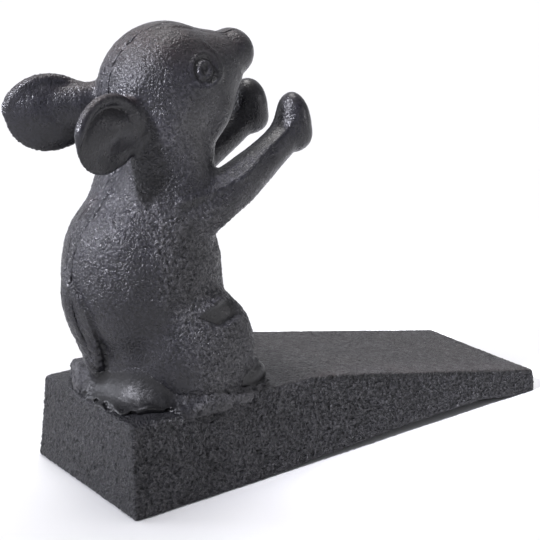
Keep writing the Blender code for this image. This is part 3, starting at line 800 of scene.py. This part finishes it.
def bead_relief(points, normals):
    """Lumps and pits low down, and a satin sheet behind the figure."""
    x, y, z = points.T
    satin = fade(x, 1, -6) * fade(y, 9, -3) * fade(z, 34, 28)
    low = fade(z, 27.5, 24.5)
    coarse = noise(points, size=1.7, seed=21)
    lumps = low * (0.30 * coarse + 0.12 * noise(points, size=0.8, seed=22)) + 0.22 * grain(points, seed=11)
    pits = fade(noise(points, size=0.9, seed=25), 0.45, 0.65)
    height = (lumps - PIT_DEPTH * low * pits) * (1 - 0.85 * satin)
    # Darkness: painted light on high lumps, painted shade in pits, darker on the satin sheet, and a paler
    # grey elsewhere
    dark = 0.12 - (0.3 * coarse - 0.5 * pits) * (1 - satin) + 0.86 * satin
    gloss = 0.2 * (1 - satin) + satin * (0.36 + 0.30 * fade(z, 23.8, 22.8))
    return height, (np.zeros(len(x)), gloss, dark, 0.8 - 0.6 * satin)


# Meshes

def mesh_object(name, points, faces):
    """A mesh object in metres from points in millimetres."""
    mesh = bpy.data.meshes.new(name)
    mesh.vertices.add(len(points))
    mesh.vertices.foreach_set("co", (points * MM).astype(np.float32).ravel())
    mesh.loops.add(faces.size)
    mesh.loops.foreach_set("vertex_index", faces.astype(np.int32).ravel())
    mesh.polygons.add(len(faces))
    mesh.polygons.foreach_set("loop_start", np.arange(len(faces), dtype=np.int32) * faces.shape[1])
    mesh.update(calc_edges=True)
    mesh.shade_smooth()
    made = bpy.data.objects.new(name, mesh)
    bpy.context.scene.collection.objects.link(made)
    return made


def sculpted(name, form, relief):
    """The form's mesh, with the height and the finish, painted light and shade included, that relief gives
    for its points and normals.
    """
    points, faces = form.mesh()
    made = mesh_object(name, points, faces)
    normals = np.empty(len(points) * 3, np.float32)
    made.data.vertex_normals.foreach_get("vector", normals)
    normals = normals.reshape(-1, 3)
    height, finish_and_shading = relief(points, normals)
    points = points + normals * height[:, None]
    made.data.vertices.foreach_set("co", (points * MM).astype(np.float32).ravel())
    stored = made.data.color_attributes.new("finish_and_shading", "FLOAT_COLOR", "POINT")
    rows = np.clip(np.stack(finish_and_shading, axis=1), 0, 1).astype(np.float32)
    stored.data.foreach_set("color", rows.ravel())
    made.data.update()
    print(name, len(points), "points", points.min(0).round(1), points.max(0).round(1))
    return made


# Materials

# Brown dust, lighter than the paint, which also paints top light on up-facing places
BROWN_AND_TOP_LIGHT = (0.029, 0.021, 0.020)
# A paler grey for low darkness: painted light on the wedge's sides, grain tops, the haunch and the cheek, and
# the bead away from its satin sheet
PALE_GREY = (0.085, 0.083, 0.088)
BLACK = (0.0115, 0.0112, 0.0150)
WEDGE_BLACK = (0.0150, 0.0148, 0.0185)
DARK_SHARE = 0.25  # of the paint's colour, painted shade in hollows
LIGHT_SHARE = 2.2  # and painted light on high places
GRAIN_SCALE = 1900  # bumps a metre
SHADE_SCALE = 160
SHINE_SCALE = 450
GLOSSIEST = 0.20


def paint(name, colour, roughness, grain_height):
    """Black paint over cast iron, from the finish stored in the mesh with its painted light and shade, and
    with fine grain of its own.
    """
    made = bpy.data.materials.new(name)
    made.use_nodes = True
    nodes, links = made.node_tree.nodes, made.node_tree.links
    shader = nodes["Principled BSDF"]
    shader.inputs["Specular IOR Level"].default_value = 0.5
    place = nodes.new("ShaderNodeTexCoord").outputs["Object"]
    stored = nodes.new("ShaderNodeAttribute")
    stored.attribute_name = "finish_and_shading"
    parts = nodes.new("ShaderNodeSeparateColor")
    links.new(stored.outputs["Color"], parts.inputs["Color"])
    brown_and_top_light, gloss, darkness = parts.outputs["Red"], parts.outputs["Green"], parts.outputs["Blue"]

    def texture(scale, detail, rough=0.55, twist=0.0):
        found = nodes.new("ShaderNodeTexNoise")
        found.inputs["Distortion"].default_value = twist
        found.inputs["Scale"].default_value = scale
        found.inputs["Detail"].default_value = detail
        found.inputs["Roughness"].default_value = rough
        links.new(place, found.inputs["Vector"])
        return found.outputs["Fac"]

    def spread(value, low, high, low_to, high_to):
        found = nodes.new("ShaderNodeMapRange")
        found.inputs["From Min"].default_value = low
        found.inputs["From Max"].default_value = high
        found.inputs["To Min"].default_value = low_to
        found.inputs["To Max"].default_value = high_to
        links.new(value, found.inputs["Value"])
        return found.outputs["Result"]

    def mixed(factor, first, second):
        found = nodes.new("ShaderNodeMix")
        found.data_type = "RGBA"
        links.new(factor, found.inputs["Factor"])
        for socket, value in (("A", first), ("B", second)):
            if isinstance(value, tuple):
                found.inputs[socket].default_value = (*value, 1)
            else:
                links.new(value, found.inputs[socket])
        return found.outputs["Result"]

    def sum_of(first, second):
        found = nodes.new("ShaderNodeMath")
        links.new(first, found.inputs[0])
        links.new(second, found.inputs[1])
        return found.outputs["Value"]

    pebbles = texture(GRAIN_SCALE, detail=2.0, rough=0.5, twist=0.6)
    # Lit and shaded copies of the paint's colour, for painted light on high places and painted shade in
    # hollows
    dark, light = (tuple(share * c for c in colour) for share in (DARK_SHARE, LIGHT_SHARE))
    tint = mixed(spread(darkness, 0.25, 0.95, 0, 1), light, dark)
    # Low darkness turns towards the paler grey, mostly painted light
    tint = mixed(spread(darkness, 0.45, 0.05, 0, 1), tint, PALE_GREY)
    # Brown dust, and painted top light on up-facing places
    tint = mixed(brown_and_top_light, tint, BROWN_AND_TOP_LIGHT)
    tint = mixed(spread(texture(SHADE_SCALE, detail=5), 0.35, 0.65, 0, 0.4), tint, dark)
    # Painted shade in the grain's hollows, where the bump is low
    tint = mixed(spread(pebbles, 0.54, 0.38, 0, 0.8), tint, dark)
    links.new(tint, shader.inputs["Base Color"])
    patches = spread(texture(SHINE_SCALE, detail=3), 0.35, 0.65, -0.07, 0.07)
    links.new(sum_of(patches, spread(gloss, 0, 1, roughness, GLOSSIEST)), shader.inputs["Roughness"])
    bump = nodes.new("ShaderNodeBump")
    bump.inputs["Distance"].default_value = grain_height
    links.new(stored.outputs["Alpha"], bump.inputs["Strength"])
    links.new(pebbles, bump.inputs["Height"])
    links.new(bump.outputs["Normal"], shader.inputs["Normal"])
    return made


# The pieces

SEAM_HALF = 1.6
SEAM_WAVE = 0.25  # how far the strip's edges wander
SEAM_DEPTH = 2.2
GAP = 0.02
FIGURE = figure_form()


def figure_depth(points):
    """How deep inside the whole figure each point is, zero on its skin."""
    cells = (points - FIGURE.low) / VOXEL
    base = np.clip(np.floor(cells).astype(int), 0, np.array(FIGURE.values.shape) - 2)
    part = cells - base
    total = np.zeros(len(points))
    for corner in np.ndindex(2, 2, 2):
        weight = np.prod(np.where(corner, part, 1 - part), axis=1)
        total += weight * FIGURE.values[tuple((base + corner).T)]
    return np.maximum(-total, 0)


def figure_pieces():
    """The right half, the left half and the strip of filler between them, cut from the one figure."""
    x, y, z = np.ix_(*FIGURE.axes)
    half = SEAM_HALF + SEAM_WAVE * np.sin(x / 2.7) + SEAM_WAVE * np.sin(z / 3.9 + x / 6)
    under = FIGURE.values + SEAM_DEPTH + GAP
    cuts = {
        "right_half": np.minimum(y + half + GAP, np.maximum(y + GAP, under)),
        "left_half": np.minimum(-y + half + GAP, np.maximum(-y + GAP, under)),
        "filler": np.maximum(np.abs(y) - half + GAP, -(FIGURE.values + SEAM_DEPTH - GAP)),
    }
    for name, cut in cuts.items():
        yield name, Form(FIGURE.axes, np.maximum(FIGURE.values, cut))


def place(piece, node, slot, material):
    """Puts a piece on its body, in the stead of the CAD's node, with a material. The slot is not used."""
    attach(piece, "root")
    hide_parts(node)
    piece.data.materials.append(material)


def build():
    iron = paint("figure_paint", BLACK, roughness=0.33, grain_height=0.0006)
    nodes = {
        "right_half": ("mouse_right_half", "figure_iron"),
        "left_half": ("mouse_left_half", "figure_iron"),
        "filler": ("seam_filler", "seam"),
    }
    for name, form in figure_pieces():
        place(sculpted("mouse_" + name, form, figure_relief), *nodes[name], iron)
    dull = paint("bead_paint", BLACK, roughness=0.60, grain_height=0.0005)
    place(sculpted("bead", bead_form(FIGURE), bead_relief), "base_bead", "bead", dull)
    casting = paint("wedge_paint", WEDGE_BLACK, roughness=0.36, grain_height=0.0011)
    wedge = sculpted("wedge_casting", sampled(*WEDGE_BOX, wedge_distance), wedge_relief)
    place(wedge, "wedge", "wedge_iron", casting)


# The floor, the world, the lamps and the camera

FLOOR_HALF = 4.0
FLOOR_TINT = (0.81, 0.81, 0.81)
FLOOR_ROUGHNESS = 0.9
WORLD_TINT = (0.93, 0.94, 1.0)
BRIGHT_SIDE = (-0.20, 0.85, 0.40)  # the studio is white behind, dim beside the camera
BRIGHT = 1.0
DIM = 0.30
DIM_UP_TO = -0.3  # share of the way towards the bright side
BRIGHT_FROM = 0.9
SPOT_AWAY = 1.0
CAMERA_YAW = math.radians(53.18711)
CAMERA_PITCH = math.radians(16.83087)
CAMERA_PLACE = (-0.16057, -0.26306, 0.14306)
CAMERA_LENS = 91.733
CAMERA_SENSOR = 36


def pale_floor():
    half = FLOOR_HALF
    corners = [(-half, -half, 0), (half, -half, 0), (half, half, 0), (-half, half, 0)]
    mesh = bpy.data.meshes.new("floor")
    mesh.from_pydata(corners, [], [(0, 1, 2, 3)])
    floor = bpy.data.objects.new("floor", mesh)
    bpy.context.scene.collection.objects.link(floor)
    white = bpy.data.materials.new("floor_white")
    white.use_nodes = True
    shader = white.node_tree.nodes["Principled BSDF"]
    shader.inputs["Base Color"].default_value = (*FLOOR_TINT, 1)
    shader.inputs["Roughness"].default_value = FLOOR_ROUGHNESS
    mesh.materials.append(white)


def studio():
    world = bpy.data.worlds.new("studio")
    bpy.context.scene.world = world
    world.use_nodes = True
    nodes, links = world.node_tree.nodes, world.node_tree.links
    background = nodes["Background"]
    background.inputs["Color"].default_value = (*WORLD_TINT, 1)
    side = nodes.new("ShaderNodeVectorMath")
    side.operation = "DOT_PRODUCT"
    side.inputs[1].default_value = Vector(BRIGHT_SIDE).normalized()
    links.new(nodes.new("ShaderNodeTexCoord").outputs["Generated"], side.inputs[0])
    level = nodes.new("ShaderNodeMapRange")
    level.interpolation_type = "SMOOTHSTEP"
    bounds = (("From Min", DIM_UP_TO), ("From Max", BRIGHT_FROM), ("To Min", DIM), ("To Max", BRIGHT))
    for name, value in bounds:
        level.inputs[name].default_value = value
    links.new(side.outputs["Value"], level.inputs["Value"])
    links.new(level.outputs["Result"], background.inputs["Strength"])
    bpy.context.scene.view_settings.view_transform = "Standard"


def lamp(name, kind, level, towards, colour):
    """A lamp that shines from the side given by towards."""
    light = bpy.data.lights.new(name, kind)
    light.energy = level
    light.color = colour
    made = bpy.data.objects.new(name, light)
    made.rotation_euler = Vector(towards).to_track_quat("Z", "Y").to_euler()
    bpy.context.scene.collection.objects.link(made)
    return made


def sun(name, towards, level, spread, colour):
    """A soft lamp far away. A white surface that faces it gets that level."""
    made = lamp(name, "SUN", level * math.pi, towards, colour)
    made.data.angle = math.radians(spread)


def spot(name, target, towards, level, radius, width, colour):
    """A lamp a metre away that lights only a circle of that width round its target."""
    made = lamp(name, "SPOT", level * 4 * math.pi**2 * SPOT_AWAY**2, towards, colour)
    made.data.shadow_soft_size = radius
    made.data.spot_size = 2 * math.atan(width / 2 / SPOT_AWAY)
    made.data.spot_blend = 1.0
    made.location = Vector(target) * MM + Vector(towards).normalized() * SPOT_AWAY


def camera():
    flat = math.cos(CAMERA_PITCH)
    look = Vector((flat * math.cos(CAMERA_YAW), flat * math.sin(CAMERA_YAW), -math.sin(CAMERA_PITCH)))
    right = Vector((math.sin(CAMERA_YAW), -math.cos(CAMERA_YAW), 0))
    turn = Matrix((right, right.cross(look), -look)).transposed().to_4x4()
    data = bpy.data.cameras.new("camera")
    data.sensor_width = CAMERA_SENSOR
    data.lens = CAMERA_LENS
    made = bpy.data.objects.new("camera", data)
    made.matrix_world = Matrix.Translation(CAMERA_PLACE) @ turn
    bpy.context.scene.collection.objects.link(made)
    bpy.context.scene.camera = made


build()
pale_floor()
studio()
sun("window", towards=(-0.68, 0.68, 0.26), level=0.32, spread=20, colour=(0.88, 0.90, 1.0))
sun("top", towards=(0.12, 0.20, 0.97), level=0.60, spread=30, colour=(1.0, 0.98, 0.98))
spot("key", target=(-8, -4, 88), towards=(-0.81, -0.05, 0.58), level=4.4, radius=0.05, width=0.13,
     colour=(0.90, 0.90, 1.0))
spot("fill", target=(6, -8, 70), towards=(0.75, -0.63, 0.17), level=0.08, radius=0.05, width=0.26,
     colour=(0.97, 0.95, 1.0))
camera()
